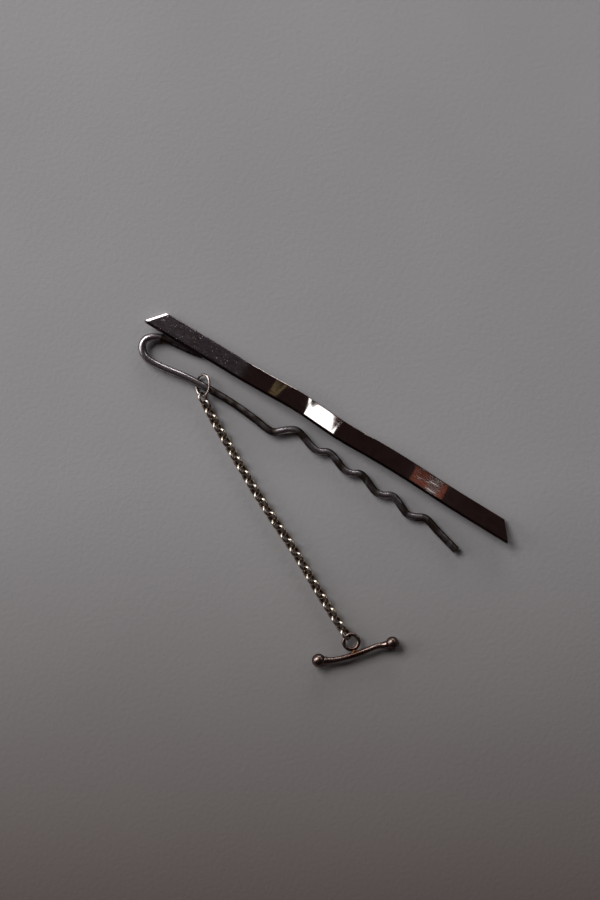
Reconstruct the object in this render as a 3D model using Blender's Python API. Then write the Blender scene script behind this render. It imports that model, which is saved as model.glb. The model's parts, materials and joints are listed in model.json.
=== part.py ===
"""A slim silver tie clip: a waved bar, a hairpin spring wire soldered behind it, and a chain with a toggle.

It lies on a table, bar along X and face up, tipped back on its far long edge, with the wire, the chain and
the toggle on its near side. Everything is built from the bar's left tip and then moved so that the origin is
under the middle of the whole object.
"""

import math

import bmesh
import bpy
from mathutils import Matrix, Vector

MM = 0.001

# Whole object
CENTRE_X = 31.08 * MM
CENTRE_Y = -13.605 * MM
GAP = 0.03 * MM

# Bar
BAR_LENGTH = 62.16 * MM
BAR_WIDTH = 3.0 * MM
BAR_THICKNESS = 0.7 * MM
BAR_TILT = math.radians(28)
END_CUT = 2.15 * MM
EDGE_ROUND = 0.06 * MM
BAR_STATIONS = 72
# How far the bar's middle line rises off the straight line between its ends: (along the bar, rise).
BAR_WAVE = [
    (0.0, 0.0),
    (8.8, 0.16),
    (14.7, 0.17),
    (17.6, 0.28),
    (20.5, 0.46),
    (23.0, 0.68),
    (24.6, 0.79),
    (25.6, 0.80),
    (26.4, 0.755),
    (27.4, 0.645),
    (31.8, 0.155),
    (32.8, 0.085),
    (33.8, 0.085),
    (35.2, 0.14),
    (38.1, 0.36),
    (41.0, 0.49),
    (44.0, 0.44),
    (46.9, 0.31),
    (51.3, 0.05),
    (54.0, 0.0),
    (62.2, 0.0),
]

# Spring wire
WIRE_RADIUS = 0.55 * MM
WIRE_SPACING = 0.55 * MM
SPLIT_GAP = 0.14 * MM
SPLIT_NECK = 0.1 * MM
CURVE_STEPS = 24
LOOP_APEX = (1.42, -2.79, 1.05)
# From the thin soldered end, along the bar's back, to the middle of the loop.
ROOT_ROUTE = [
    (9.97, -0.15, 0.66),
    (8.50, -0.23, 0.70),
    (6.60, -0.42, 0.80),
    (4.70, -0.63, 0.88),
    (3.22, -0.93, 0.97),
    (2.27, -1.41, 1.03),
    (1.61, -2.05, 1.05),
]
ROOT_TIP_SCALE = 0.45
ROOT_TAPER = 2.6 * MM
# From the middle of the loop to the first wave.
LEG_ROUTE = [
    (1.69, -3.59, 1.05),
    (2.35, -4.25, 1.04),
    (3.23, -4.57, 1.03),
    (4.40, -4.63, 1.02),
    (5.86, -4.49, 1.01),
    (7.33, -4.27, 1.00),
    (8.80, -4.03, 0.99),
    (11.0, -3.81, 0.97),
    (14.66, -3.64, 0.94),
    (17.6, -3.66, 0.91),
    (21.3, -3.93, 0.88),
    (23.2, -4.18, 0.86),
    (24.6, -4.08, 0.85),
]
WAVE_FIRST_X = 27.6
WAVE_PITCH = 5.64
WAVE_COUNT = 5
WAVE_CREST_Y = -2.17
WAVE_CREST_STEP = -0.29
WAVE_SHOULDER_BACK = 1.5
WAVE_SHOULDER_DROP = 0.62
WAVE_TROUGH_X = 2.85
WAVE_TROUGH_Y = -3.02
WAVE_TROUGH_STEP = -0.38
LEG_OUT = (52.76, -4.03)
LEG_END = (56.45, -4.98, 0.555)
LEG_HEIGHT_AT_WAVES = 0.85

# Seam of solder beside the wire's thin end
SEAM_START = (7.2, 0.60, 0.46)
SEAM_STOP = (10.2, 0.72, 0.42)
SEAM_RADIUS = 0.22 * MM
SEAM_TIP_SCALE = 0.45

# Jump ring on the wire
JUMP_CENTRE = (12.17, -3.67, 1.0)
JUMP_WIRE = 0.175 * MM
JUMP_LONG = 1.585 * MM
JUMP_SHORT = 1.27 * MM
JUMP_LONG_AXIS = (0.414, -0.910, -0.10)
JUMP_TILT = math.radians(40)
JUMP_CUT = math.radians(6)
JUMP_CUT_AT = math.radians(196)
JUMP_SEGMENTS = 22

# Chain
LINKS = 35
LINK_WIRE = 0.185 * MM
LINK_HALF_WIDTH = 0.65 * MM
LINK_POINTS = 12
LINK_ROLL = math.radians(45)
CHAIN_ROUTE = [
    (15.9, -7.0, 0.66),
    (19.54, -9.00, 0.65),
    (24.34, -11.60, 0.65),
    (29.69, -14.32, 0.65),
    (36.09, -17.30, 0.65),
    (42.57, -20.71, 0.65),
    (46.4, -22.65, 0.72),
]

# Toggle
TOGGLE_RING_CENTRE = (50.25, -24.41, 0.95)
TOGGLE_RING_RADIUS = 1.125 * MM
TOGGLE_RING_WIRE = 0.2 * MM
TOGGLE_RING_SEGMENTS = 24
BALL_SEGMENTS = 16
BALL_RINGS = 10
ROD_RADIUS = 0.42 * MM
ROD_HEIGHT = 0.98
BALL_LEFT = (47.60, -29.22)
BALL_LEFT_RADIUS = 1.0 * MM
BALL_RIGHT = (55.46, -21.40)
BALL_RIGHT_RADIUS = 0.93 * MM
ROD_ROUTE = [
    (49.10, -28.31),
    (50.45, -27.09),
    (51.85, -25.51),
    (53.04, -24.00),
    (53.76, -23.05),
    (54.71, -22.25),
]
BALL_LEFT_HEIGHT = 1.0
ROD_SPACING = 0.5 * MM
SOLDER_HALF_LENGTH = 0.42 * MM
SOLDER_HEIGHT = 0.5 * MM


def millimetres(point):
    return Vector(point) * MM


def clear_scene():
    for obj in list(bpy.data.objects):
        bpy.data.objects.remove(obj, do_unlink=True)


def metal(name, colour, roughness):
    material = bpy.data.materials.new(name)
    material.use_nodes = True
    shader = material.node_tree.nodes["Principled BSDF"]
    shader.inputs["Base Color"].default_value = (*colour, 1)
    shader.inputs["Metallic"].default_value = 1.0
    shader.inputs["Roughness"].default_value = roughness
    return material


def world(place):
    """A place measured from the bar's left tip, as one measured from under the whole object's middle."""
    return place - Vector((CENTRE_X, CENTRE_Y, 0))


def empty(name, place, parent):
    """A pivot on a joint's axis, at a place measured from the bar's left tip."""
    pivot = bpy.data.objects.new(name, None)
    bpy.context.collection.objects.link(pivot)
    pivot.empty_display_size = MM
    pivot.parent = parent
    pivot.location = world(place) - (world_place(parent) if parent else Vector())
    return pivot


def world_place(obj):
    place = obj.location.copy()
    while obj.parent:
        obj = obj.parent
        place += obj.location
    return place


def add(name, data, material, parent):
    """Links an object whose data is measured from the bar's left tip, with its origin on its parent's."""
    obj = bpy.data.objects.new(name, data)
    bpy.context.collection.objects.link(obj)
    data.materials.append(material)
    data.transform(Matrix.Translation(world(Vector()) - world_place(parent)))
    obj.parent = parent
    return obj


def smooth_route(points, spacing):
    """Points at an even spacing along a Catmull-Rom curve through the given ones."""
    ends = [points[0] * 2 - points[1], *points, points[-1] * 2 - points[-2]]
    fine = []
    for before, start, stop, after in zip(ends, ends[1:], ends[2:], ends[3:]):
        for step in range(CURVE_STEPS):
            t = step / CURVE_STEPS
            bend = 2 * before - 5 * start + 4 * stop - after
            turn = 3 * start - before - 3 * stop + after
            fine.append(0.5 * (2 * start + (stop - before) * t + bend * t * t + turn * t**3))
    fine.append(points[-1])
    return even_points(fine, spacing)


def even_points(fine, spacing):
    lengths = [(b - a).length for a, b in zip(fine, fine[1:])]
    count = max(2, round(sum(lengths) / spacing))
    step = sum(lengths) / count
    found = [fine[0]]
    travelled = 0.0
    for start, stop, length in zip(fine, fine[1:], lengths):
        while len(found) < count and travelled + length >= len(found) * step:
            found.append(start.lerp(stop, (len(found) * step - travelled) / length))
        travelled += length
    return [*found, fine[-1]]


def tube(name, points, radius, material, parent, closed=False, sides=8, scales=None):
    curve = bpy.data.curves.new(name, "CURVE")
    curve.dimensions = "3D"
    curve.bevel_depth = radius
    curve.bevel_resolution = sides // 2 - 2
    curve.use_fill_caps = not closed
    spline = curve.splines.new("POLY")
    spline.points.add(len(points) - 1)
    for index, point in enumerate(points):
        spline.points[index].co = (*point, 1)
        spline.points[index].radius = scales[index] if scales else 1.0
    spline.use_cyclic_u = closed
    spline.use_smooth = True
    return add(name, curve, material, parent)


def wave_rise(x):
    """The bar's rise at x, from a curve through BAR_WAVE that never overshoots its points."""
    knots = [(a * MM, b * MM) for a, b in BAR_WAVE]
    steps = [(b[1] - a[1]) / (b[0] - a[0]) for a, b in zip(knots, knots[1:])]
    slopes = [0.0]
    for left, right in zip(steps, steps[1:]):
        slopes.append(2 * left * right / (left + right) if left * right > 0 else 0.0)
    slopes.append(0.0)
    for index, (low, high) in enumerate(zip(knots, knots[1:])):
        if x <= high[0] or index == len(knots) - 2:
            break
    span = high[0] - low[0]
    t = min(max((x - low[0]) / span, 0.0), 1.0)
    return (
        (1 + 2 * t) * (1 - t) ** 2 * low[1]
        + t * (1 - t) ** 2 * span * slopes[index]
        + t * t * (3 - 2 * t) * high[1]
        - t * t * (1 - t) * span * slopes[index + 1]
    )


def bar_point(along, across, depth):
    """A point of the bar: along it and across from its near edge, both 0 to 1, and depth below its face."""
    cut = END_CUT * across
    x = cut + (BAR_LENGTH - 2 * cut) * along
    downhill = Vector((0, math.cos(BAR_TILT), -math.sin(BAR_TILT)))
    face = Vector((0, math.sin(BAR_TILT), math.cos(BAR_TILT)))
    near_edge = BAR_WIDTH * math.sin(BAR_TILT) + BAR_THICKNESS * math.cos(BAR_TILT)
    start = Vector((x, 0, near_edge))
    return start + downhill * BAR_WIDTH * across + face * (wave_rise(x) - depth)


def make_bar(material, parent):
    mesh = bpy.data.meshes.new("bar")
    build = bmesh.new()
    rings = []
    for station in range(BAR_STATIONS + 1):
        along = station / BAR_STATIONS
        corners = [(0, 0), (1, 0), (1, BAR_THICKNESS), (0, BAR_THICKNESS)]
        rings.append([build.verts.new(bar_point(along, across, depth)) for across, depth in corners])
    for left, right in zip(rings, rings[1:]):
        for corner in range(4):
            following = (corner + 1) % 4
            build.faces.new([left[corner], right[corner], right[following], left[following]])
    build.faces.new(rings[0])
    build.faces.new(reversed(rings[-1]))
    bmesh.ops.recalc_face_normals(build, faces=build.faces)
    build.to_mesh(mesh)
    build.free()
    mesh.shade_smooth()
    mesh.set_sharp_from_angle(angle=math.radians(40))
    bar = add("bar", mesh, material, parent)
    rounding = bar.modifiers.new("edge_round", "BEVEL")
    rounding.width = EDGE_ROUND
    rounding.segments = 1
    rounding.limit_method = "ANGLE"
    rounding.angle_limit = math.radians(50)


def leg_height(x):
    """The leg's middle height, falling evenly from the first wave to the free end."""
    part = (x - WAVE_FIRST_X) / (LEG_END[0] - WAVE_FIRST_X)
    return LEG_HEIGHT_AT_WAVES + (LEG_END[2] - LEG_HEIGHT_AT_WAVES) * min(max(part, 0.0), 1.0)


def spring_route():
    """The whole wire: from its thin end, round the loop, along the straight stretch, over the waves and out."""
    route = [millimetres(point) for point in [*ROOT_ROUTE, LOOP_APEX, *LEG_ROUTE]]
    for wave in range(WAVE_COUNT):
        crest_x = WAVE_FIRST_X + WAVE_PITCH * wave
        crest_y = WAVE_CREST_Y + WAVE_CREST_STEP * wave
        shoulder_x = crest_x - WAVE_SHOULDER_BACK
        route.append(millimetres((shoulder_x, crest_y - WAVE_SHOULDER_DROP, leg_height(shoulder_x))))
        route.append(millimetres((crest_x, crest_y, leg_height(crest_x))))
        if wave < WAVE_COUNT - 1:
            trough_x = crest_x + WAVE_TROUGH_X
            trough_y = WAVE_TROUGH_Y + WAVE_TROUGH_STEP * wave
            route.append(millimetres((trough_x, trough_y, leg_height(trough_x))))
    route.append(millimetres((*LEG_OUT, leg_height(LEG_OUT[0]))))
    route.append(millimetres(LEG_END))
    return smooth_route(route, WIRE_SPACING)


def cut_back(points, distance):
    """The route with its first stretch of the given length left off."""
    while (points[1] - points[0]).length < distance:
        distance -= (points[1] - points[0]).length
        points = points[1:]
    toward = (points[1] - points[0]).normalized()
    return [points[0] + toward * distance, *points[1:]]


def spring_split():
    """The wire's route, the place in it where it is split, and its direction there."""
    wire = spring_route()
    apex = millimetres(LOOP_APEX)
    split = min(range(len(wire)), key=lambda index: (wire[index] - apex).length)
    return wire, split, (wire[split + 1] - wire[split - 1]).normalized()


def make_spring(material, root, leg_pivot):
    """The wire in two pieces, with a thin gap and square faces at the middle of its loop."""
    wire, split, onward = spring_split()
    face = onward * SPLIT_GAP / 2
    neck = onward * (SPLIT_GAP / 2 + SPLIT_NECK)
    half = [*wire[:split], wire[split] - neck, wire[split] - face]
    scales = []
    for point in half:
        run = min((point - half[0]).length / ROOT_TAPER, 1.0)
        scales.append(ROOT_TIP_SCALE + (1 - ROOT_TIP_SCALE) * math.sin(run * math.pi / 2))
    tube("spring_root", half, WIRE_RADIUS, material, root, scales=scales)
    leg = [wire[split] + face, wire[split] + neck, *wire[split + 1 :]]
    tube("spring_leg", leg, WIRE_RADIUS, material, leg_pivot)


def make_spring_solder(material, root):
    """The seam of solder beside the wire's thin end, against the bar's back."""
    points = even_points([millimetres(SEAM_START), millimetres(SEAM_STOP)], WIRE_SPACING)
    scales = []
    for index in range(len(points)):
        swell = math.sin(math.pi * index / (len(points) - 1))
        scales.append(SEAM_TIP_SCALE + (1 - SEAM_TIP_SCALE) * swell)
    tube("spring_solder", points, SEAM_RADIUS, material, root, scales=scales)


def jump_axes():
    """The jump ring's long axis, down and away from the bar, and its short one, up over the wire."""
    long_axis = Vector(JUMP_LONG_AXIS).normalized()
    level = Vector((-long_axis.y, long_axis.x, 0)).normalized()
    short_axis = level * math.cos(JUMP_TILT) + Vector((0, 0, math.sin(JUMP_TILT)))
    short_axis = (short_axis - long_axis * short_axis.dot(long_axis)).normalized()
    return long_axis, short_axis


def make_jump_ring(material, parent):
    long_axis, short_axis = jump_axes()
    centre = millimetres(JUMP_CENTRE)
    points = []
    for step in range(JUMP_SEGMENTS + 1):
        turn = JUMP_CUT_AT + JUMP_CUT / 2 + (2 * math.pi - JUMP_CUT) * step / JUMP_SEGMENTS
        points.append(
            centre
            + long_axis * JUMP_LONG * math.cos(turn)
            + short_axis * JUMP_SHORT * math.sin(turn)
        )
    tube("jump_ring", points, JUMP_WIRE, material, parent)


def chain_pivots():
    """The middle of the wire that each link hangs on, the jump ring's first, and the chain's far end."""
    first = millimetres(JUMP_CENTRE) + jump_axes()[0] * JUMP_LONG
    ring = millimetres(TOGGLE_RING_CENTRE)
    route = [millimetres(point) for point in CHAIN_ROUTE]
    reach = TOGGLE_RING_RADIUS - LINK_WIRE - TOGGLE_RING_WIRE - 3 * GAP
    onward = ring - route[-1]
    onward.z = 0
    last = ring - onward.normalized() * reach
    fine = smooth_route([first, *route, last], GAP)
    length = sum((b - a).length for a, b in zip(fine, fine[1:]))
    return even_points(fine, length / LINKS)


def link_axes(start, stop, index):
    """A link's length and width directions. Links are rolled to one side and the other in turn."""
    along = (stop - start).normalized()
    side = Vector((0, 0, 1)).cross(along).normalized()
    above = along.cross(side)
    roll = LINK_ROLL if index % 2 else -LINK_ROLL
    return along, side * math.cos(roll) + above * math.sin(roll)


def make_link(index, pivots, material, parent):
    start = pivots[index]
    stop = pivots[index + 1]
    along, wide = link_axes(start, stop, index)
    held = JUMP_WIRE + GAP if index == 0 else LINK_WIRE
    begin = start - along * (held + LINK_WIRE + GAP)
    middle = (begin + stop) / 2
    straight = (stop - begin).length / 2 - LINK_HALF_WIDTH
    points = []
    for step in range(LINK_POINTS):
        turn = 2 * math.pi * (step + 0.5) / LINK_POINTS
        shift = straight if math.cos(turn) > 0 else -straight
        reach = LINK_HALF_WIDTH / math.cos(math.pi / LINK_POINTS)
        points.append(middle + along * (shift + reach * math.cos(turn)) + wide * reach * math.sin(turn))
    tube(f"chain_link_{index + 1:02d}", points, LINK_WIRE, material, parent, closed=True, sides=6)


def make_chain(material, parent):
    """Each link swings on the wire of the piece before it, so each hangs on that piece's pivot."""
    pivots = chain_pivots()
    for index in range(LINKS):
        parent = empty(f"link_pivot_{index + 1:02d}", pivots[index], parent)
        make_link(index, pivots, material, parent)
    return parent


def make_toggle(silver, solder, parent):
    centre = millimetres(TOGGLE_RING_CENTRE)
    pivot = empty("toggle_pivot", centre, parent)
    ring = []
    for step in range(TOGGLE_RING_SEGMENTS):
        turn = 2 * math.pi * step / TOGGLE_RING_SEGMENTS
        ring.append(centre + Vector((math.cos(turn), math.sin(turn), 0)) * TOGGLE_RING_RADIUS)
    tube("toggle_ring", ring, TOGGLE_RING_WIRE, silver, pivot, closed=True)
    balls = [
        ("toggle_ball_left", millimetres((*BALL_LEFT, BALL_LEFT_HEIGHT)), BALL_LEFT_RADIUS),
        ("toggle_ball_right", millimetres((*BALL_RIGHT, ROD_HEIGHT)), BALL_RIGHT_RADIUS),
    ]
    for name, place, radius in balls:
        make_ball(name, place, radius, silver, pivot)
    route = [millimetres((*point, ROD_HEIGHT)) for point in ROD_ROUTE]
    route = smooth_route([balls[0][1], *route, balls[1][1]], ROD_SPACING)
    route = cut_back(route, BALL_LEFT_RADIUS + GAP)
    route = cut_back(route[::-1], BALL_RIGHT_RADIUS + GAP)[::-1]
    tube("toggle_rod", route, ROD_RADIUS, silver, pivot)
    make_toggle_solder(centre, route, solder, pivot)


def make_ball(name, place, radius, material, parent):
    mesh = bpy.data.meshes.new(name)
    build = bmesh.new()
    bmesh.ops.create_uvsphere(build, u_segments=BALL_SEGMENTS, v_segments=BALL_RINGS, radius=radius)
    bmesh.ops.translate(build, verts=build.verts, vec=place)
    build.to_mesh(mesh)
    build.free()
    mesh.shade_smooth()
    add(name, mesh, material, parent)


def make_toggle_solder(centre, rod, material, parent):
    """The thin wedge of solder between the ring and the rod."""
    nearest = min(rod, key=lambda point: (point - centre).length)
    out = (nearest - centre).normalized()
    out.z = 0
    out.normalize()
    along = Vector((-out.y, out.x, 0))
    inner = TOGGLE_RING_RADIUS + TOGGLE_RING_WIRE + GAP
    outer = (nearest - centre).to_2d().length - ROD_RADIUS - GAP
    mesh = bpy.data.meshes.new("toggle_solder")
    build = bmesh.new()
    bmesh.ops.create_cube(build, size=1.0)
    for vert in build.verts:
        place = centre + out * (inner + (outer - inner) * (vert.co.x + 0.5))
        place += along * vert.co.y * 2 * SOLDER_HALF_LENGTH
        place.z += vert.co.z * SOLDER_HEIGHT
        vert.co = place
    build.to_mesh(mesh)
    build.free()
    add("toggle_solder", mesh, material, parent)


def main():
    clear_scene()
    silver = metal("bar_silver", (0.55, 0.52, 0.50), 0.18)
    wire = metal("wire_silver", (0.62, 0.60, 0.62), 0.25)
    chain = metal("chain_silver", (0.36, 0.32, 0.29), 0.32)
    toggle = metal("toggle_silver", (0.42, 0.38, 0.35), 0.28)
    solder = metal("solder", (0.48, 0.36, 0.28), 0.4)
    root = empty("clip", Vector(), None)
    make_bar(silver, root)
    wire_route, split, _ = spring_split()
    leg_pivot = empty("leg_pivot", wire_route[split], root)
    make_spring(wire, root, leg_pivot)
    make_spring_solder(solder, root)
    ring_pivot = empty("jump_ring_pivot", millimetres(JUMP_CENTRE), leg_pivot)
    make_jump_ring(wire, ring_pivot)
    last_link = make_chain(chain, ring_pivot)
    make_toggle(toggle, solder, last_link)


main()
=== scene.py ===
"""The finished look of the tie clip.

Polished and tarnished silver, on a pale paper floor under soft studio light.
"""

import json
import math

import bpy
import numpy as np
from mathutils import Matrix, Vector


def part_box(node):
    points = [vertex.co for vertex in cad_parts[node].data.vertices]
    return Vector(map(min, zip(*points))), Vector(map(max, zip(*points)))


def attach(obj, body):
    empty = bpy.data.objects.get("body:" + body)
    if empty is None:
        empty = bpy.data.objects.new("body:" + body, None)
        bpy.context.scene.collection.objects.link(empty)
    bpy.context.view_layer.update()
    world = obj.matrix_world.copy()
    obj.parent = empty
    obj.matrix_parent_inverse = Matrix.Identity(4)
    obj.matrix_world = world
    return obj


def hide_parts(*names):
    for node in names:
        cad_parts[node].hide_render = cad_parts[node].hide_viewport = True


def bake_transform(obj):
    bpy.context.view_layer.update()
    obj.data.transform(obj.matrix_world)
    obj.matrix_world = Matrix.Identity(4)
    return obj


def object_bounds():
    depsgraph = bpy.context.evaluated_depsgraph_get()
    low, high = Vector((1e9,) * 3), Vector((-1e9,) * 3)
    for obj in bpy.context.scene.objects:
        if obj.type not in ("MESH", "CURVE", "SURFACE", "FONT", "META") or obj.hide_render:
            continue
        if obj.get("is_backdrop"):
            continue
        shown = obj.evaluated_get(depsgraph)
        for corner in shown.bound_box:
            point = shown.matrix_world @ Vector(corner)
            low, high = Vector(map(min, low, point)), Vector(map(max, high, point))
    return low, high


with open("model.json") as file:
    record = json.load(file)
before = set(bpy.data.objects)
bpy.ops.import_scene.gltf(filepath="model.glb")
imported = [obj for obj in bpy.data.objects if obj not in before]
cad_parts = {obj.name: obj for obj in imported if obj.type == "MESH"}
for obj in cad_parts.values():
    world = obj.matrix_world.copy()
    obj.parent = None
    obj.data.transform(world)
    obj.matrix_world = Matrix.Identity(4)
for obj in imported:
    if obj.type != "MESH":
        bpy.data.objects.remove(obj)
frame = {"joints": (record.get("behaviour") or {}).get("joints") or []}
cad_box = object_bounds()

MM = 0.001
# The bar's left tip. The routes of the bar, the wire and the rod are measured from it, in mm.
TIP = Vector((-31.08, 13.605, 0.0)) * MM

# Bar
BAR_LENGTH = 62.16 * MM
BAR_WIDTH = 3.0 * MM
BAR_THICKNESS = 0.7 * MM
BAR_TILT = math.radians(28)
END_CUT = 2.15 * MM
BAR_STATIONS = 420
# The first stations crowd towards the left end, where the chamfer is.
CROWDED_STATIONS = 12
BAR_CORNER = 0.13 * MM
BAR_WAVE = [
    (0.0, 0.0),
    (8.8, 0.16),
    (14.7, 0.17),
    (17.6, 0.28),
    (20.5, 0.46),
    (23.0, 0.68),
    (24.6, 0.79),
    (25.6, 0.80),
    (26.4, 0.755),
    (27.4, 0.645),
    (31.8, 0.155),
    (32.8, 0.085),
    (33.8, 0.085),
    (35.2, 0.14),
    (38.1, 0.36),
    (41.0, 0.49),
    (44.0, 0.44),
    (46.9, 0.29),
    (51.3, 0.05),
    (54.0, 0.0),
    (62.2, 0.0),
]
# The crest lies a little askew across the bar. Each pair is a place along the bar, in mm, and how much
# further along the wave the far edge is there than the near one.
BAR_SKEW = [(22.0, 0.0), (26.8, 0.8), (32.4, -0.4), (37.0, 0.0)]
CHAMFER = 0.36 * MM
CHAMFER_SLOPE = 0.195
END_ROUNDING = 0.1 * MM
SHARP_ANGLE = math.radians(50)
# The face is rubbed dull at its left, and the rubbing fades out here, over this length.
RUBBED_UNTIL = 17.5 * MM
RUBBED_FADE = 2.5 * MM
# The tilted bar's directions: from its near edge to its far one, and out of its face.
BAR_DOWNHILL = Vector((0, math.cos(BAR_TILT), -math.sin(BAR_TILT)))
BAR_FACE = Vector((0, math.sin(BAR_TILT), math.cos(BAR_TILT)))
NEAR_EDGE_HEIGHT = BAR_WIDTH * math.sin(BAR_TILT) + BAR_THICKNESS * math.cos(BAR_TILT)

# Spring wire
WIRE_RADIUS = 0.55 * MM
ROOT_ROUTE = [
    (9.97, -0.15, 0.66),
    (8.50, -0.23, 0.70),
    (6.60, -0.42, 0.80),
    (4.70, -0.63, 0.88),
    (3.22, -0.93, 0.97),
    (2.27, -1.41, 1.03),
    (1.61, -2.05, 1.05),
    (1.42, -2.79, 1.05),
]
LEG_ROUTE = [
    (1.69, -3.59, 1.05),
    (2.35, -4.25, 1.04),
    (3.23, -4.57, 1.03),
    (4.40, -4.63, 1.02),
    (5.86, -4.49, 1.01),
    (7.33, -4.27, 1.00),
    (8.80, -4.03, 0.99),
    (11.0, -3.81, 0.97),
    (14.66, -3.64, 0.94),
    (17.6, -3.66, 0.91),
    (21.3, -3.93, 0.88),
    (23.2, -4.18, 0.86),
    (24.6, -4.08, 0.85),
]
WAVE_FIRST_X = 27.6
WAVE_PITCH = 5.64
WAVE_COUNT = 5
WAVE_CREST_Y = -2.17
WAVE_CREST_STEP = -0.29
WAVE_SHOULDER_BACK = 1.5
WAVE_SHOULDER_DROP = 0.62
WAVE_TROUGH_X = 2.85
WAVE_TROUGH_Y = -3.02
WAVE_TROUGH_STEP = -0.38
LEG_OUT = (52.76, -4.03)
LEG_END = (56.45, -4.98, 0.555)
LEG_HEIGHT_AT_WAVES = 0.85
ROOT_TIP_SCALE = 0.45
ROOT_TAPER = 2.6 * MM
# The jump ring has worn the wire a little thinner beyond its usual place.
WORN_AWAY = 0.03 * MM
WORN_AT = 16.8 * MM
WORN_REACH = 2.5 * MM
# The wire is painted bright round the loop, where the lights glint, and grows dull between these two places,
# in mm from the tip.
DULL_BETWEEN = (6.0, 16.0)
BRIGHT_THEN_DULL = (1.0, 0.25)
# Each wave's painted highlight at its crest is a little weaker than the one before it.
CREST_HIGHLIGHT_STEP = 0.08
# Painted shade: how bright the wire under the bar is left.
UNDER_BAR_SHADE = 0.2

# Rings, chain and toggle
JUMP_CENTRE = (12.17, -3.67, 1.0)
JUMP_WIRE = 0.16 * MM
JUMP_LONG = 1.585 * MM
JUMP_SHORT = 1.27 * MM
JUMP_CUT = math.radians(6)
JUMP_CUT_AT = math.radians(196)
LINK_WIRE = 0.185 * MM
LINK_HALF_WIDTH = 0.65 * MM
LINK_GAP = 0.03 * MM
TOGGLE_RING_GAP = 0.09 * MM
TOGGLE_RING_RADIUS = 1.1 * MM
TOGGLE_RING_WIRE = 0.28 * MM
ROD_RADIUS = 0.42 * MM
BALL_LEFT_RADIUS = 1.0 * MM
BALL_RIGHT_RADIUS = 0.93 * MM
ROD_ROUTE = [
    (49.10, -28.31),
    (50.45, -27.09),
    (51.85, -25.51),
    (53.04, -24.00),
    (53.76, -23.05),
    (54.71, -22.25),
]
LINK_SIDE_SWELL = 0.08 * MM
NECK_SWELL = 0.2 * MM
NECK_LENGTH = 0.45 * MM
HEATED_REACH = 1.5 * MM
FILLET_RADIUS = 0.3 * MM
FILLET_HALF_LENGTH = 0.65 * MM
# The fillet under the bar's near edge, at the wire's first five route points, thin end first.
FILLET_UNDER_BAR = [0.06 * MM, 0.13 * MM, 0.2 * MM, 0.24 * MM, 0.1 * MM]
# Where it lies, in mm: its surface this far out from the bar's near edge, and its middle this far above
# the wire's middle.
FILLET_OUT = 0.12
FILLET_RISE = 0.52
# The seam of solder behind the bar: its slant, then its radius at the ends and what its middle adds, in mm.
SEAM_SLANT = 0.04 * MM
SEAM_END = 0.09
SEAM_SWELL = 0.12

# Materials
# The colour that the film of tarnish leaves of a reflection seen nearly edge on.
EDGE_TINT = (0.25, 0.2, 0.2, 1.0)
# The coppery colour of silver that was heated when it was soldered.
HEAT_STAIN = (0.14, 0.06, 0.032)
SILVER_GRAIN = 5200.0

# Camera: straight overhead, turned so that the bar falls away to the right
CAMERA_TURN = math.radians(31.4)
CAMERA_HEIGHT = 0.45
CAMERA_SENSOR = 36.0
CAMERA_AIM = (-1.86 * MM, 9.25 * MM)
# The length that the picture's long side shows on the floor.
VIEW_LENGTH = 132.0 * MM
# The bar mirrors cards and a window that stand this far off.
CARD_DISTANCE = 1.6
# Painted shade: the card's tone falls from pale to dark between these, measured up the picture from the
# origin.
PAPER_PALE_FROM = 4.0 * MM
PAPER_SHADE_FROM = -60.0 * MM
PAPER_PAINTED_SHADE = (0.195, 0.16, 0.148)
# Lights: a place across and up the picture and above the floor, in m, then size, power and colour.
STUDIO_LIGHTS = {
    "key": ((-0.60, 0.57, 0.69), (0.69, 0.48), 6.3, (1.0, 0.985, 0.99)),
    "rim": ((0.05, 0.43, 0.12), (0.30, 0.09), 0.38, (1.0, 0.98, 0.98)),
    "side": ((-0.42, 0.06, 0.16), (0.26, 0.14), 0.42, (1.0, 0.98, 0.98)),
    "spot": ((0.045, 0.41, 0.24), (0.08, 0.08), 0.008, (1.0, 0.96, 0.93)),
}
# What the bar mirrors: a place on its face, along it and from its near edge, and how far along +X the light
# stands from the place that is mirrored there, in m, then size, power and colour.
MIRRORED_LIGHTS = {
    "window": ((29.6 * MM, 1.5 * MM), 0.148, (0.384, 0.32), 0.85, (1.0, 1.0, 1.0)),
    "warm_card": ((45.6 * MM, 0.8 * MM), 0.0, (0.044, 0.006), 0.00025, (1.0, 0.22, 0.09)),
    "ochre_card": ((22.3 * MM, 1.2 * MM), 0.0, (0.026, 0.006), 0.00012, (1.0, 0.8, 0.36)),
}
STUDIO_DARK = (0.014, 0.0078, 0.0076, 1)


def joint(name):
    return next(j for j in frame["joints"] if j["name"] == name)


def place_of(name):
    return Vector(joint(name)["pos_m"])


def axis_of(name):
    return Vector(joint(name)["axis"]).normalized()


def from_tip(point):
    return TIP + Vector(point) * MM


# ---------------------------------------------------------------- meshes


def smooth_route(points, spacing):
    """Points at an even spacing along a Catmull-Rom curve through the given ones."""
    ends = [points[0] * 2 - points[1], *points, points[-1] * 2 - points[-2]]
    fine = []
    steps = 24
    for before, start, stop, after in zip(ends, ends[1:], ends[2:], ends[3:]):
        for step in range(steps):
            t = step / steps
            bend = 2 * before - 5 * start + 4 * stop - after
            turn = 3 * start - before - 3 * stop + after
            fine.append(0.5 * (2 * start + (stop - before) * t + bend * t * t + turn * t**3))
    fine.append(points[-1])
    return even_points(fine, spacing)


def even_points(fine, spacing):
    lengths = [(b - a).length for a, b in zip(fine, fine[1:])]
    count = max(2, round(sum(lengths) / spacing))
    step = sum(lengths) / count
    found = [fine[0]]
    travelled = 0.0
    for start, stop, length in zip(fine, fine[1:], lengths):
        while len(found) < count and travelled + length >= len(found) * step:
            found.append(start.lerp(stop, (len(found) * step - travelled) / length))
        travelled += length
    return [*found, fine[-1]]


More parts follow.
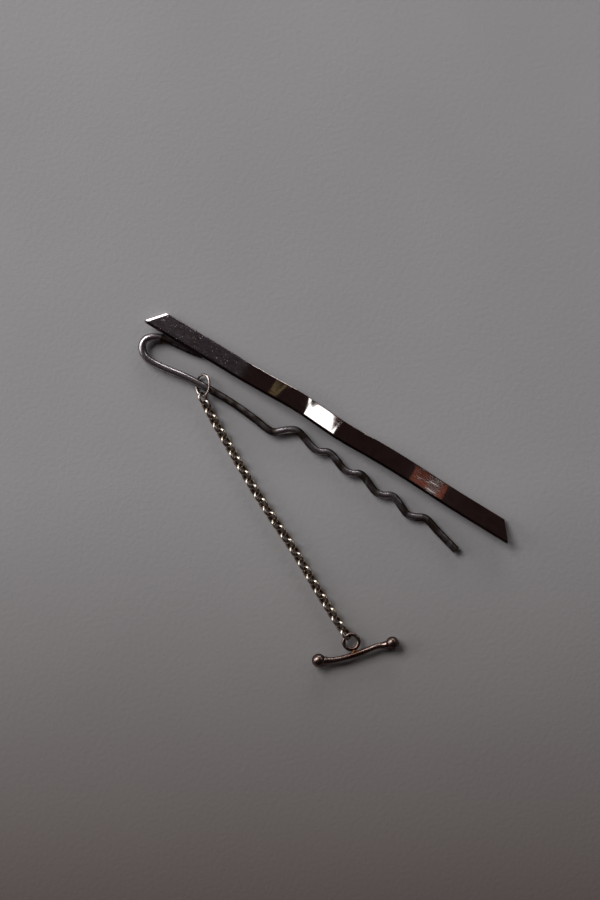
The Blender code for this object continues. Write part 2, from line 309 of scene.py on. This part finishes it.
def piece(name, points, faces, material, **marks):
    """A smooth mesh object. Its marks, such as wear, are values at each point, which materials read."""
    mesh = bpy.data.meshes.new(name)
    mesh.from_pydata([tuple(p) for p in points], [], faces)
    for mark, values in marks.items():
        attribute = mesh.attributes.new(mark, "FLOAT", "POINT")
        attribute.data.foreach_set("value", np.asarray(values, np.float32))
    mesh.materials.append(material)
    mesh.validate()
    mesh.shade_smooth()
    obj = bpy.data.objects.new(name, mesh)
    bpy.context.scene.collection.objects.link(obj)
    return obj


def carried_frames(route, closed):
    """Two directions across the route at each point, turned as little as possible along the way."""
    count = len(route)
    tangents = []
    for index in range(count):
        before = route[index - 1] if closed or index else route[0]
        after = route[(index + 1) % count] if closed or index < count - 1 else route[-1]
        tangents.append((after - before).normalized())
    across = tangents[0].orthogonal().normalized()
    found = []
    for tangent in tangents:
        across = (across - tangent * across.dot(tangent)).normalized()
        found.append((across, tangent.cross(across)))
    return found


def rounded_ends(route, radii, rounding):
    """Adds rings at both ends that turn the edge over, and returns the route and radii."""
    steps = 5
    start_out = (route[0] - route[1]).normalized()
    stop_out = (route[-1] - route[-2]).normalized()
    head, head_radii, tail, tail_radii = [], [], [], []
    for step in range(steps):
        angle = math.pi / 2 * (step + 1) / steps
        drop = 1 - math.cos(angle)
        head.append(route[0] + start_out * rounding * (math.sin(angle) - 1))
        head_radii.append(radii[0] - rounding * drop)
        tail.append(route[-1] + stop_out * rounding * (math.sin(angle) - 1))
        tail_radii.append(radii[-1] - rounding * drop)
    inner = [i for i, p in enumerate(route) if keep_clear(p, route, rounding)]
    body = [route[i] for i in inner]
    body_radii = [radii[i] for i in inner]
    return [*head[::-1], *body, *tail], [*head_radii[::-1], *body_radii, *tail_radii]


def keep_clear(point, route, rounding):
    return (point - route[0]).length > rounding * 1.05 and (point - route[-1]).length > rounding * 1.05


def tube(name, route, radii, material, closed=False, sides=20, wear=None, heated=None, rounding=None):
    """A round bar along a route, with its ends turned over where it has a rounding."""
    if not closed and rounding:
        route, radii = rounded_ends(route, radii, rounding)
    frames = carried_frames(route, closed)
    points, shine, heat = [], [], []
    for middle, radius, (across, other) in zip(route, radii, frames):
        for side in range(sides):
            turn = 2 * math.pi * side / sides
            spoke = across * math.cos(turn) + other * math.sin(turn)
            points.append(middle + spoke * radius)
            shine.append(wear(middle, spoke) if wear else 0.5)
            heat.append(heated(middle) if heated else 0.0)
    faces = []
    rings = len(route)
    for ring in range(rings if closed else rings - 1):
        following = (ring + 1) % rings
        for side in range(sides):
            right = (side + 1) % sides
            corners = (ring * sides + side, ring * sides + right)
            faces.append((corners[0], corners[1], following * sides + right, following * sides + side))
    if not closed:
        faces.append(tuple(range(sides))[::-1])
        faces.append(tuple((rings - 1) * sides + side for side in range(sides)))
    return piece(name, points, faces, material, wear=shine, heated=heat)


# ---------------------------------------------------------------- materials


def nodes_for(name):
    material = bpy.data.materials.new(name)
    material.use_nodes = True
    tree = material.node_tree
    return material, tree, tree.nodes["Principled BSDF"]


def add_node(tree, kind, **values):
    node = tree.nodes.new(kind)
    for key, value in values.items():
        if key in node.inputs:
            node.inputs[key].default_value = value
        else:
            setattr(node, key, value)
    return node


def noise(tree, scale, detail, vector, distortion=0.0):
    node = add_node(tree, "ShaderNodeTexNoise", Scale=scale, Detail=detail, Distortion=distortion)
    tree.links.new(vector, node.inputs["Vector"])
    return node.outputs["Fac"]


def ranged(tree, value, low, high, new_low, new_high):
    node = add_node(tree, "ShaderNodeMapRange")
    tree.links.new(value, node.inputs["Value"])
    for key, number in (("From Min", low), ("From Max", high), ("To Min", new_low), ("To Max", new_high)):
        node.inputs[key].default_value = number
    return node.outputs["Result"]


def mixed(tree, factor, first, second):
    """A colour mix. first and second are sockets or plain colours."""
    node = tree.nodes.new("ShaderNodeMix")
    node.data_type = "RGBA"
    tree.links.new(factor, node.inputs["Factor"])
    for key, value in ((6, first), (7, second)):
        if isinstance(value, tuple):
            node.inputs[key].default_value = (*value, 1)
        else:
            tree.links.new(value, node.inputs[key])
    return node.outputs[2]


def math_node(tree, operation, first, second):
    node = add_node(tree, "ShaderNodeMath", operation=operation)
    for socket, value in zip(node.inputs, (first, second)):
        if isinstance(value, (int, float)):
            socket.default_value = value
        else:
            tree.links.new(value, socket)
    return node.outputs[0]


def stretched(tree, vector, scale):
    node = add_node(tree, "ShaderNodeMapping", Scale=scale)
    tree.links.new(vector, node.inputs["Vector"])
    return node.outputs["Vector"]


def bumped(tree, shader, height, distance, strength):
    node = add_node(tree, "ShaderNodeBump", Distance=distance, Strength=strength)
    tree.links.new(height, node.inputs["Height"])
    tree.links.new(node.outputs["Normal"], shader.inputs["Normal"])


def silver(name, bright, tarnish, roughness, tarnish_from=0.35):
    """Handled silver: bright where worn and where light is painted on, dark where tarnish has settled and
    where shade is painted on, coppery where it was soldered.
    """
    material, tree, shader = nodes_for(name)
    where = tree.nodes.new("ShaderNodeTexCoord").outputs["Object"]
    wear = add_node(tree, "ShaderNodeAttribute", attribute_name="wear").outputs["Fac"]
    heated = add_node(tree, "ShaderNodeAttribute", attribute_name="heated").outputs["Fac"]
    patches = noise(tree, 520.0, 5.0, where, 0.6)
    specks = noise(tree, SILVER_GRAIN, 3.0, where)
    # The film of tarnish thins where the mark is high and thickens where it is low, so the mark's painted
    # light and shade show in the colour.
    film = math_node(tree, "SUBTRACT", math_node(tree, "ADD", patches, 0.55), wear)
    film = ranged(tree, film, tarnish_from, tarnish_from + 0.5, 0.0, 1.0)
    film = math_node(tree, "ADD", film, ranged(tree, specks, 0.62, 0.74, 0.0, 0.35))
    film = ranged(tree, film, 0.0, 1.0, 0.0, 1.0)
    colour = mixed(tree, film, bright, tarnish)
    heated = math_node(tree, "MULTIPLY", heated, ranged(tree, patches, 0.35, 0.6, 0.5, 1.0))
    tree.links.new(mixed(tree, heated, colour, HEAT_STAIN), shader.inputs["Base Color"])
    shader.inputs["Metallic"].default_value = 1.0
    shader.inputs["Specular Tint"].default_value = EDGE_TINT
    rough = ranged(tree, film, 0.0, 1.0, roughness, roughness + 0.16)
    rough = math_node(tree, "ADD", rough, ranged(tree, specks, 0.3, 0.7, -0.03, 0.05))
    tree.links.new(rough, shader.inputs["Roughness"])
    bumped(tree, shader, noise(tree, SILVER_GRAIN * 0.6, 4.0, where), 0.00002, 0.25)
    return material


def bar_silver():
    """The bar: polished, with fine scratches, rubbed dull towards its left end, with tarnish and painted
    shade on its sides.
    """
    material, tree, shader = nodes_for("bar_silver")
    where = tree.nodes.new("ShaderNodeTexCoord").outputs["Object"]
    rubbed_and_glint = add_node(tree, "ShaderNodeAttribute", attribute_name="dull").outputs["Fac"]
    edge = add_node(tree, "ShaderNodeAttribute", attribute_name="edge").outputs["Fac"]
    patches = noise(tree, 330.0, 6.0, where, 1.2)
    scuffs = noise(tree, 2400.0, 5.0, stretched(tree, where, (0.35, 1.0, 1.0)), 0.4)
    specks = noise(tree, 4200.0, 2.0, where)
    scratches = noise(tree, 5200.0, 2.0, stretched(tree, where, (0.06, 1.0, 1.0)))
    dull = math_node(tree, "MULTIPLY", rubbed_and_glint, ranged(tree, scuffs, 0.3, 0.62, 0.6, 1.0))
    clouded = ranged(tree, patches, 0.38, 0.68, 0.0, 1.0)
    colour = mixed(tree, clouded, (0.80, 0.74, 0.72), (0.62, 0.53, 0.51))
    rubs = ranged(tree, scuffs, 0.35, 0.65, 0.0, 1.0)
    rubbed_tone = mixed(tree, rubs, (0.08, 0.06, 0.075), (0.19, 0.15, 0.18))
    colour = mixed(tree, dull, colour, rubbed_tone)
    bright = math_node(tree, "MULTIPLY", rubbed_and_glint, ranged(tree, specks, 0.67, 0.73, 0.0, 1.0))
    colour = mixed(tree, bright, colour, (0.62, 0.58, 0.62))
    # Tarnish and painted shade darken the bar's sides.
    colour = mixed(tree, edge, colour, (0.055, 0.04, 0.04))
    tree.links.new(colour, shader.inputs["Base Color"])
    shader.inputs["Metallic"].default_value = 1.0
    shader.inputs["Specular Tint"].default_value = EDGE_TINT
    rough = ranged(tree, dull, 0.0, 1.0, 0.05, 0.24)
    rough = math_node(tree, "ADD", rough, ranged(tree, scratches, 0.6, 0.75, 0.0, 0.05))
    rough = math_node(tree, "ADD", rough, ranged(tree, bright, 0.0, 1.0, 0.0, 0.25))
    rough = math_node(tree, "ADD", rough, ranged(tree, edge, 0.0, 1.0, 0.0, 0.12))
    tree.links.new(rough, shader.inputs["Roughness"])
    height = math_node(tree, "MULTIPLY", dull, scuffs)
    height = math_node(tree, "ADD", height, ranged(tree, scratches, 0.62, 0.72, 0.0, -0.2))
    bumped(tree, shader, height, 0.00001, 0.3)
    return material


def paper():
    """The floor: card that is pale, then darker towards the viewer with painted shade, slightly mottled, with
    a fine tooth.
    """
    material, tree, shader = nodes_for("paper")
    where = tree.nodes.new("ShaderNodeTexCoord").outputs["Object"]
    clouds = noise(tree, 38.0, 4.0, where)
    tooth = noise(tree, 1500.0, 3.0, where)
    colour = mixed(tree, ranged(tree, clouds, 0.3, 0.7, 0.0, 1.0), (0.47, 0.465, 0.475), (0.50, 0.492, 0.50))
    turned = add_node(tree, "ShaderNodeMapping", vector_type="TEXTURE", Rotation=(0, 0, CAMERA_TURN))
    tree.links.new(where, turned.inputs["Vector"])
    across = tree.nodes.new("ShaderNodeSeparateXYZ")
    tree.links.new(turned.outputs["Vector"], across.inputs["Vector"])
    # Painted shade: the card darkens towards the bottom of the picture, where the light falls off.
    painted_falloff = ranged(tree, across.outputs["Y"], PAPER_PALE_FROM, PAPER_SHADE_FROM, 0.0, 1.0)
    tree.links.new(mixed(tree, painted_falloff, colour, PAPER_PAINTED_SHADE), shader.inputs["Base Color"])
    shader.inputs["Roughness"].default_value = 0.85
    shader.inputs["Specular IOR Level"].default_value = 0.2
    bumped(tree, shader, tooth, 0.00008, 0.5)
    return material


# ---------------------------------------------------------------- bar


def wave_rise(x):
    """The bar's rise at x, from a curve through BAR_WAVE that never overshoots its points."""
    knots = [(a * MM, b * MM) for a, b in BAR_WAVE]
    steps = [(b[1] - a[1]) / (b[0] - a[0]) for a, b in zip(knots, knots[1:])]
    slopes = [0.0]
    for left, right in zip(steps, steps[1:]):
        slopes.append(2 * left * right / (left + right) if left * right > 0 else 0.0)
    slopes.append(0.0)
    for index, (low, high) in enumerate(zip(knots, knots[1:])):
        if x <= high[0] or index == len(knots) - 2:
            break
    span = high[0] - low[0]
    t = min(max((x - low[0]) / span, 0.0), 1.0)
    return (
        (1 + 2 * t) * (1 - t) ** 2 * low[1]
        + t * (1 - t) ** 2 * span * slopes[index]
        + t * t * (3 - 2 * t) * high[1]
        - t * t * (1 - t) * span * slopes[index + 1]
    )


def bar_section():
    """(distance from the near edge, depth below the face) round the bar's section, with rounded corners."""
    corners = [
        (BAR_CORNER, BAR_CORNER, 180),
        (BAR_WIDTH - BAR_CORNER, BAR_CORNER, 270),
        (BAR_WIDTH - BAR_CORNER, BAR_THICKNESS - BAR_CORNER, 0),
        (BAR_CORNER, BAR_THICKNESS - BAR_CORNER, 90),
    ]
    section = []
    for index, (middle, depth, start) in enumerate(corners):
        for step in range(6):
            angle = math.radians(start + 90 * step / 5)
            section.append((middle + BAR_CORNER * math.cos(angle), depth + BAR_CORNER * math.sin(angle)))
        section += flat_stretch(section[-1], corners[(index + 1) % 4])
    return section


def flat_stretch(last, corner):
    """Points that keep the flat between two rounded corners flat in its shading as well."""
    middle, depth, start = corner
    angle = math.radians(start)
    following = (middle + BAR_CORNER * math.cos(angle), depth + BAR_CORNER * math.sin(angle))
    shares = (0.02, 0.1, 0.37, 0.63, 0.9, 0.98)
    return [tuple(a + (b - a) * share for a, b in zip(last, following)) for share in shares]


def skewed_rise(x, width):
    """The bar's rise at x, and at a width from its near edge, with the crest lying askew."""
    askew = np.interp(x / MM, [a for a, _ in BAR_SKEW], [b for _, b in BAR_SKEW]) * MM
    return wave_rise(x + askew * (width / BAR_WIDTH - 0.5))


def end_chamfer(distance):
    """How far the face is filed down near the slanted left end."""
    return CHAMFER_SLOPE * max(CHAMFER - distance, 0.0)


def make_bar():
    section = bar_section()
    points, dull, edge = [], [], []
    count = len(section)
    for station in range(BAR_STATIONS + 1):
        along = station / BAR_STATIONS
        along = along if station > CROWDED_STATIONS else along * station / CROWDED_STATIONS
        for width, depth in section:
            cut = END_CUT * width / BAR_WIDTH
            x = cut + (BAR_LENGTH - 2 * cut) * along
            if depth < BAR_THICKNESS / 2:
                depth += end_chamfer((BAR_LENGTH - 2 * cut) * along)
            start = TIP + Vector((x, 0, NEAR_EDGE_HEIGHT))
            points.append(start + BAR_DOWNHILL * width + BAR_FACE * (skewed_rise(x, width) - depth))
            filed = x < CHAMFER + cut
            dull.append(0.0 if filed else min(max((RUBBED_UNTIL - x) / RUBBED_FADE, 0.0), 1.0))
            # The sides, which carry tarnish and painted shade.
            side = depth > 1.6 * BAR_CORNER or width < 0.6 * BAR_CORNER
            edge.append(1.0 if side and not filed else 0.0)
    faces = []
    for station in range(BAR_STATIONS):
        low, high = station * count, (station + 1) * count
        for corner in range(count):
            following = (corner + 1) % count
            faces.append((low + following, low + corner, high + corner, high + following))
    faces.append(tuple(range(count)))
    faces.append(tuple(BAR_STATIONS * count + corner for corner in range(count))[::-1])
    bar = piece("bar_strip", points, faces, bar_silver(), dull=dull, edge=edge)
    bar.data.set_sharp_from_angle(angle=SHARP_ANGLE)
    rounding = bar.modifiers.new("end_round", "BEVEL")
    rounding.width = END_ROUNDING
    rounding.segments = 3
    rounding.limit_method = "ANGLE"
    rounding.angle_limit = SHARP_ANGLE
    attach(bar, "clip")
    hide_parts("bar")


# ---------------------------------------------------------------- spring


def leg_height(x):
    part = (x - WAVE_FIRST_X) / (LEG_END[0] - WAVE_FIRST_X)
    return LEG_HEIGHT_AT_WAVES + (LEG_END[2] - LEG_HEIGHT_AT_WAVES) * min(max(part, 0.0), 1.0)


def spring_route():
    """The whole wire, from its thin end round the loop, along the straight stretch and over the waves."""
    route = [*ROOT_ROUTE, *LEG_ROUTE]
    for wave in range(WAVE_COUNT):
        crest_x = WAVE_FIRST_X + WAVE_PITCH * wave
        crest_y = WAVE_CREST_Y + WAVE_CREST_STEP * wave
        shoulder_x = crest_x - WAVE_SHOULDER_BACK
        route.append((shoulder_x, crest_y - WAVE_SHOULDER_DROP, leg_height(shoulder_x)))
        route.append((crest_x, crest_y, leg_height(crest_x)))
        if wave < WAVE_COUNT - 1:
            trough_x = crest_x + WAVE_TROUGH_X
            trough_y = WAVE_TROUGH_Y + WAVE_TROUGH_STEP * wave
            route.append((trough_x, trough_y, leg_height(trough_x)))
    route.append((*LEG_OUT, leg_height(LEG_OUT[0])))
    route.append(LEG_END)
    return smooth_route([from_tip(point) for point in route], 0.16 * MM)


def make_spring(material):
    """The wire as the single bent piece that it is."""
    route = spring_route()
    radii = []
    for point in route:
        run = min((point - route[0]).length / ROOT_TAPER, 1.0)
        scale = ROOT_TIP_SCALE + (1 - ROOT_TIP_SCALE) * math.sin(run * math.pi / 2)
        worn = WORN_AWAY * math.exp(-(((point.x - TIP.x - WORN_AT) / WORN_REACH) ** 2))
        radii.append(WIRE_RADIUS * scale - worn)
    # Painted highlights and painted shade on the wire.
    spring = tube("spring_wire", route, radii, material, sides=28, wear=wire_wear, rounding=0.12 * MM)
    from_tip((2.3, -1.40, 1.05))
    from_tip((2.57, -4.10, 1.05))
    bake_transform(spring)
    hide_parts("spring_root", "spring_leg")


def top_wear(_, spoke):
    """Painted light: the upper side of a wire is made brighter, and painted shade darkens the sides it lies
    on.
    """
    return 0.1 + 0.9 * max(spoke.z, 0.0)


def wire_wear(place, spoke):
    """Painted highlights brighten the loop and each rise to a crest, where the lights glint; painted shade
    darkens the wire under the bar; the rest of the wire stays dark.
    """
    along = (place.x - TIP.x) / MM
    # Painted shade: the stretch of wire under the bar is darkened.
    hidden = along > ROOT_ROUTE[4][0] and place.y > from_tip(ROOT_ROUTE[5]).y
    # Painted highlights round the loop and at each rise to a crest.
    rubbed_and_glint = float(np.interp(along, DULL_BETWEEN, BRIGHT_THEN_DULL))
    for wave in range(WAVE_COUNT):
        rise = WAVE_FIRST_X + WAVE_PITCH * wave - WAVE_SHOULDER_BACK
        here = math.exp(-(((along - rise) / WAVE_SHOULDER_BACK) ** 2))
        rubbed_and_glint = max(rubbed_and_glint, (1.0 - CREST_HIGHLIGHT_STEP * wave) * here)
    return top_wear(place, spoke) * (UNDER_BAR_SHADE if hidden else rubbed_and_glint)


# ---------------------------------------------------------------- rings, chain and toggle


def make_jump_ring(material):
    centre = from_tip(JUMP_CENTRE)
    short_axis = axis_of("link_01_swing")
    long_axis = (place_of("link_01_swing") - centre).normalized()
    route = []
    steps = 64
    for step in range(steps + 1):
        turn = JUMP_CUT_AT + JUMP_CUT / 2 + (2 * math.pi - JUMP_CUT) * step / steps
        point = centre + long_axis * JUMP_LONG * math.cos(turn)
        route.append(point + short_axis * JUMP_SHORT * math.sin(turn))
    radii = [JUMP_WIRE] * len(route)
    # Painted light on the ring's upper side, painted shade on its lower sides.
    ring = tube("jump_ring_wire", route, radii, material, sides=18, wear=top_wear, rounding=0.04 * MM)
    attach(ring, "jump_ring")
    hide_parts("jump_ring")


def link_joints():
    return sorted(j["name"] for j in frame["joints"] if j["name"].startswith("link_"))


def make_chain(material):
    names = link_joints()
    pivots = [place_of(name) for name in names]
    ring = place_of("toggle_turn")
    onward = ring - pivots[-1]
    onward.z = 0
    reach = TOGGLE_RING_RADIUS - LINK_WIRE - TOGGLE_RING_WIRE - TOGGLE_RING_GAP
    pivots.append(ring - onward.normalized() * reach)
    for index in range(len(names)):
        body = joint(names[index])["child"]
        turned_by = names[index + 1] if index + 1 < len(names) else names[index - 1]
        make_link(index, pivots, axis_of(turned_by), body, material)


def make_link(index, pivots, wide, body, material):
    along = (pivots[index + 1] - pivots[index]).normalized()
    wide = (wide - along * wide.dot(along)).normalized()
    held = JUMP_WIRE + LINK_GAP if index == 0 else LINK_WIRE
    begin = pivots[index] - along * (held + LINK_WIRE + LINK_GAP)
    middle = (begin + pivots[index + 1]) / 2
    straight = (pivots[index + 1] - begin).length / 2 - LINK_HALF_WIDTH
    route = []
    steps = 44
    radii = []
    for step in range(steps):
        turn = 2 * math.pi * (step + 0.5) / steps
        shift = straight * math.tanh(3 * math.cos(turn))
        swell = 0.0 if index == 0 else LINK_SIDE_SWELL * math.sin(turn) ** 4
        length = shift + LINK_HALF_WIDTH * math.cos(turn)
        route.append(middle + along * length + wide * (LINK_HALF_WIDTH - swell) * math.sin(turn))
        radii.append(LINK_WIRE + swell)

    def wear(place, spoke):
        # Tarnish settles on the link's inner side, and painted light makes its upper side brighter.
        outward = (place - middle).normalized().dot(spoke)
        return 0.3 + 0.45 * outward + 0.35 * spoke.z

    link = tube(f"link_{index + 1:02d}_wire", route, radii, material, closed=True, sides=14, wear=wear)
    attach(link, body)
    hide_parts(f"chain_link_{index + 1:02d}")


def make_toggle(material, solder):
    centre = place_of("toggle_turn")
    balls = []
    for side, radius in (("left", BALL_LEFT_RADIUS), ("right", BALL_RIGHT_RADIUS)):
        low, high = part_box(f"toggle_ball_{side}")
        balls.append((low + high) / 2)
        make_ball(side, (low + high) / 2, radius, material)
    route = [Vector((*from_tip((*point, 0)).to_2d(), balls[1].z)) for point in ROD_ROUTE]
    route = smooth_route([balls[0], *route, balls[1]], 0.12 * MM)
    route = [p for p in route if (p - balls[0]).length > 0.8 * BALL_LEFT_RADIUS]
    route = [p for p in route if (p - balls[1]).length > 0.8 * BALL_RIGHT_RADIUS]
    joined = min(route, key=lambda point: (point - centre).length)

    def heated(place):
        return math.exp(-(((place - joined).length / HEATED_REACH) ** 2))

    # Painted light on the upper sides of the ring and rod, painted shade below, and the coppery heat stain.
    looks = {"wear": top_wear, "heated": heated}
    ring_route = []
    steps = 64
    for step in range(steps):
        turn = 2 * math.pi * step / steps
        ring_route.append(centre + Vector((math.cos(turn), math.sin(turn), 0)) * TOGGLE_RING_RADIUS)
    radii = [TOGGLE_RING_WIRE] * steps
    ring = tube("toggle_ring_wire", ring_route, radii, material, closed=True, sides=18, **looks)
    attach(ring, "toggle")
    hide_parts("toggle_ring")
    radii = []
    for point in route:
        from_left = (point - balls[0]).length - BALL_LEFT_RADIUS
        from_right = (point - balls[1]).length - BALL_RIGHT_RADIUS
        nearest = max(min(from_left, from_right), 0.0)
        radii.append(ROD_RADIUS + NECK_SWELL * math.exp(-nearest / NECK_LENGTH))
    rod = tube("toggle_rod_bar", route, radii, material, sides=24, rounding=0.05 * MM, **looks)
    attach(rod, "toggle")
    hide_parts("toggle_rod")
    make_toggle_solder(centre, joined, solder)


def make_ball(side, place, radius, material):
    points, faces, wear = [], [], []
    rings, sides = 24, 32
    for ring in range(1, rings):
        polar = math.pi * ring / rings
        for step in range(sides):
            turn = 2 * math.pi * step / sides
            level = math.sin(polar)
            spoke = Vector((level * math.cos(turn), level * math.sin(turn), math.cos(polar)))
            points.append(place + spoke * radius)
            # Painted light: the ball is made brighter on top and darker underneath.
            wear.append(0.45 + 0.3 * spoke.z)
    for ring in range(rings - 2):
        upper = ring * sides
        lower = upper + sides
        for step in range(sides):
            right = (step + 1) % sides
            faces.append((upper + step, lower + step, lower + right, upper + right))
    points += [place + Vector((0, 0, radius)), place - Vector((0, 0, radius))]
    # Painted light at the top pole, painted shade at the bottom pole.
    wear += [0.75, 0.15]
    top, bottom = len(points) - 2, len(points) - 1
    last = (rings - 2) * sides
    for step in range(sides):
        right = (step + 1) % sides
        faces.append((top, step, right))
        faces.append((bottom, last + right, last + step))
    ball = piece(f"toggle_{side}_ball", points, faces, material, wear=wear)
    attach(ball, "toggle")
    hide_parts(f"toggle_ball_{side}")


def make_toggle_solder(centre, joined, material):
    """A fillet of solder that fills the notch between the ring and the rod, and spreads along the rod."""
    out = (joined - centre).normalized()
    along = out.cross(Vector((0, 0, 1))).normalized()
    start = centre + out * TOGGLE_RING_RADIUS
    stop = joined - out * (ROD_RADIUS - FILLET_RADIUS)
    spread = [-1.0, -0.5, 0.0, 0.5, 1.0]
    route = [start.lerp(stop, 0.5 + 0.5 * abs(s)) + along * FILLET_HALF_LENGTH * s for s in spread]
    route = smooth_route(route, 0.08 * MM)
    radii = [FILLET_RADIUS] * len(route)
    # Painted light on the solder's upper side, painted shade below.
    fillet = tube("toggle_solder_fillet", route, radii, material, wear=top_wear, rounding=0.08 * MM)
    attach(fillet, "toggle")
    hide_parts("toggle_solder")


def make_bar_fillet(material):
    """The solder that runs along the notch between the bar's near edge and the wire below it."""
    route = []
    for point, radius in zip(ROOT_ROUTE[:5], FILLET_UNDER_BAR):
        route.append(from_tip((point[0], -FILLET_OUT - radius / MM, point[2] + FILLET_RISE)))
    route = smooth_route(route, 0.12 * MM)
    radii = []
    for index in range(len(route)):
        along = index / (len(route) - 1) * (len(FILLET_UNDER_BAR) - 1)
        radii.append(float(np.interp(along, range(len(FILLET_UNDER_BAR)), FILLET_UNDER_BAR)))
    fillet = tube("bar_solder_fillet", route, radii, material, sides=16, rounding=0.03 * MM)
    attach(fillet, "clip")


def make_spring_solder(material):
    low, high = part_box("spring_solder")
    start = Vector((low.x, (low.y + high.y) / 2 - SEAM_SLANT, (low.z + high.z) / 2))
    stop = Vector((high.x, (low.y + high.y) / 2 + SEAM_SLANT, (low.z + high.z) / 2))
    route = smooth_route([start, start.lerp(stop, 0.5), stop], 0.12 * MM)
    radii = []
    for index in range(len(route)):
        swell = SEAM_SWELL * math.sin(math.pi * index / (len(route) - 1))
        radii.append((SEAM_END + swell) * MM)
    # Painted light on the seam's upper side, painted shade below.
    seam = tube("spring_solder_seam", route, radii, material, sides=16, wear=top_wear, rounding=0.03 * MM)
    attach(seam, "clip")
    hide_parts("spring_solder")


# ---------------------------------------------------------------- camera, floor and light


def in_picture(right, up, height):
    """A place given across and up the view from its middle, in m, as a place in the frame."""
    x = right * math.cos(CAMERA_TURN) - up * math.sin(CAMERA_TURN)
    y = right * math.sin(CAMERA_TURN) + up * math.cos(CAMERA_TURN)
    return Vector((CAMERA_AIM[0] + x, CAMERA_AIM[1] + y, height))


def make_camera():
    data = bpy.data.cameras.new("camera")
    data.sensor_width = CAMERA_SENSOR
    data.lens = CAMERA_SENSOR * CAMERA_HEIGHT / VIEW_LENGTH
    data.clip_start = 0.01
    camera = bpy.data.objects.new("camera", data)
    camera.location = (*CAMERA_AIM, CAMERA_HEIGHT)
    camera.rotation_euler = (0, 0, CAMERA_TURN)
    bpy.context.scene.collection.objects.link(camera)
    bpy.context.scene.camera = camera


def make_floor():
    half = 1.5
    corners = [(-half, -half, 0), (half, -half, 0), (half, half, 0), (-half, half, 0)]
    floor = piece("floor", corners, [(0, 1, 2, 3)], paper())
    floor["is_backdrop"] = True


def soft_light(name, place, aim, size, power, colour):
    data = bpy.data.lights.new(name, "AREA")
    data.shape = "RECTANGLE"
    data.size, data.size_y = size
    data.energy = power
    data.color = colour
    light = bpy.data.objects.new(name, data)
    light.location = place
    light.rotation_euler = (place - aim).to_track_quat("Z", "Y").to_euler()
    bpy.context.scene.collection.objects.link(light)


def mirrored(x, width):
    """Where the camera's look ends after the bar mirrors it, at x along the bar and a width from its edge."""
    slope = (wave_rise(x + 0.1 * MM) - wave_rise(x - 0.1 * MM)) / (0.2 * MM)
    facing = Vector((-slope, math.sin(BAR_TILT), math.cos(BAR_TILT))).normalized()
    place = TIP + Vector((x, 0, NEAR_EDGE_HEIGHT + wave_rise(x))) + BAR_DOWNHILL * width
    look = (place - Vector((*CAMERA_AIM, CAMERA_HEIGHT))).normalized()
    return place + (look - 2 * look.dot(facing) * facing) * CARD_DISTANCE


def make_light():
    middle = in_picture(0, 0, 0)
    bar = TIP + Vector((BAR_LENGTH / 2, 0, 0))
    for name, (place, size, power, colour) in STUDIO_LIGHTS.items():
        soft_light(name, in_picture(*place), middle, size, power, colour)
    for name, (seen_at, shift, size, power, colour) in MIRRORED_LIGHTS.items():
        place = mirrored(*seen_at) + Vector((shift, 0, 0))
        soft_light(name, place, bar, size, power, colour)
    world = bpy.data.worlds.new("studio")
    world.use_nodes = True
    world.node_tree.nodes["Background"].inputs["Color"].default_value = STUDIO_DARK
    world.node_tree.nodes["Background"].inputs["Strength"].default_value = 1.0
    bpy.context.scene.world = world
    bpy.context.scene.view_settings.view_transform = "Standard"


# ---------------------------------------------------------------- all of it


def main():
    make_camera()
    make_floor()
    make_light()
    wire = silver("wire_silver", (0.66, 0.61, 0.64), (0.066, 0.047, 0.038), 0.28)
    chain = silver("chain_silver", (0.84, 0.74, 0.62), (0.125, 0.07, 0.04), 0.26, 0.27)
    toggle = silver("toggle_silver", (0.32, 0.24, 0.21), (0.06, 0.038, 0.032), 0.25, 0.22)
    worn = silver("ring_silver", (0.60, 0.52, 0.47), (0.12, 0.08, 0.06), 0.28)
    solder = silver("solder", (0.13, 0.055, 0.03), (0.06, 0.028, 0.016), 0.42)
    grey_solder = silver("grey_solder", (0.15, 0.12, 0.14), (0.07, 0.05, 0.06), 0.36)
    make_bar()
    make_spring(wire)
    make_bar_fillet(grey_solder)
    make_spring_solder(grey_solder)
    make_jump_ring(worn)
    make_chain(chain)
    make_toggle(toggle, solder)
    new_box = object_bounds()
    [[list(corner) for corner in box] for box in (cad_box, new_box)]


main()
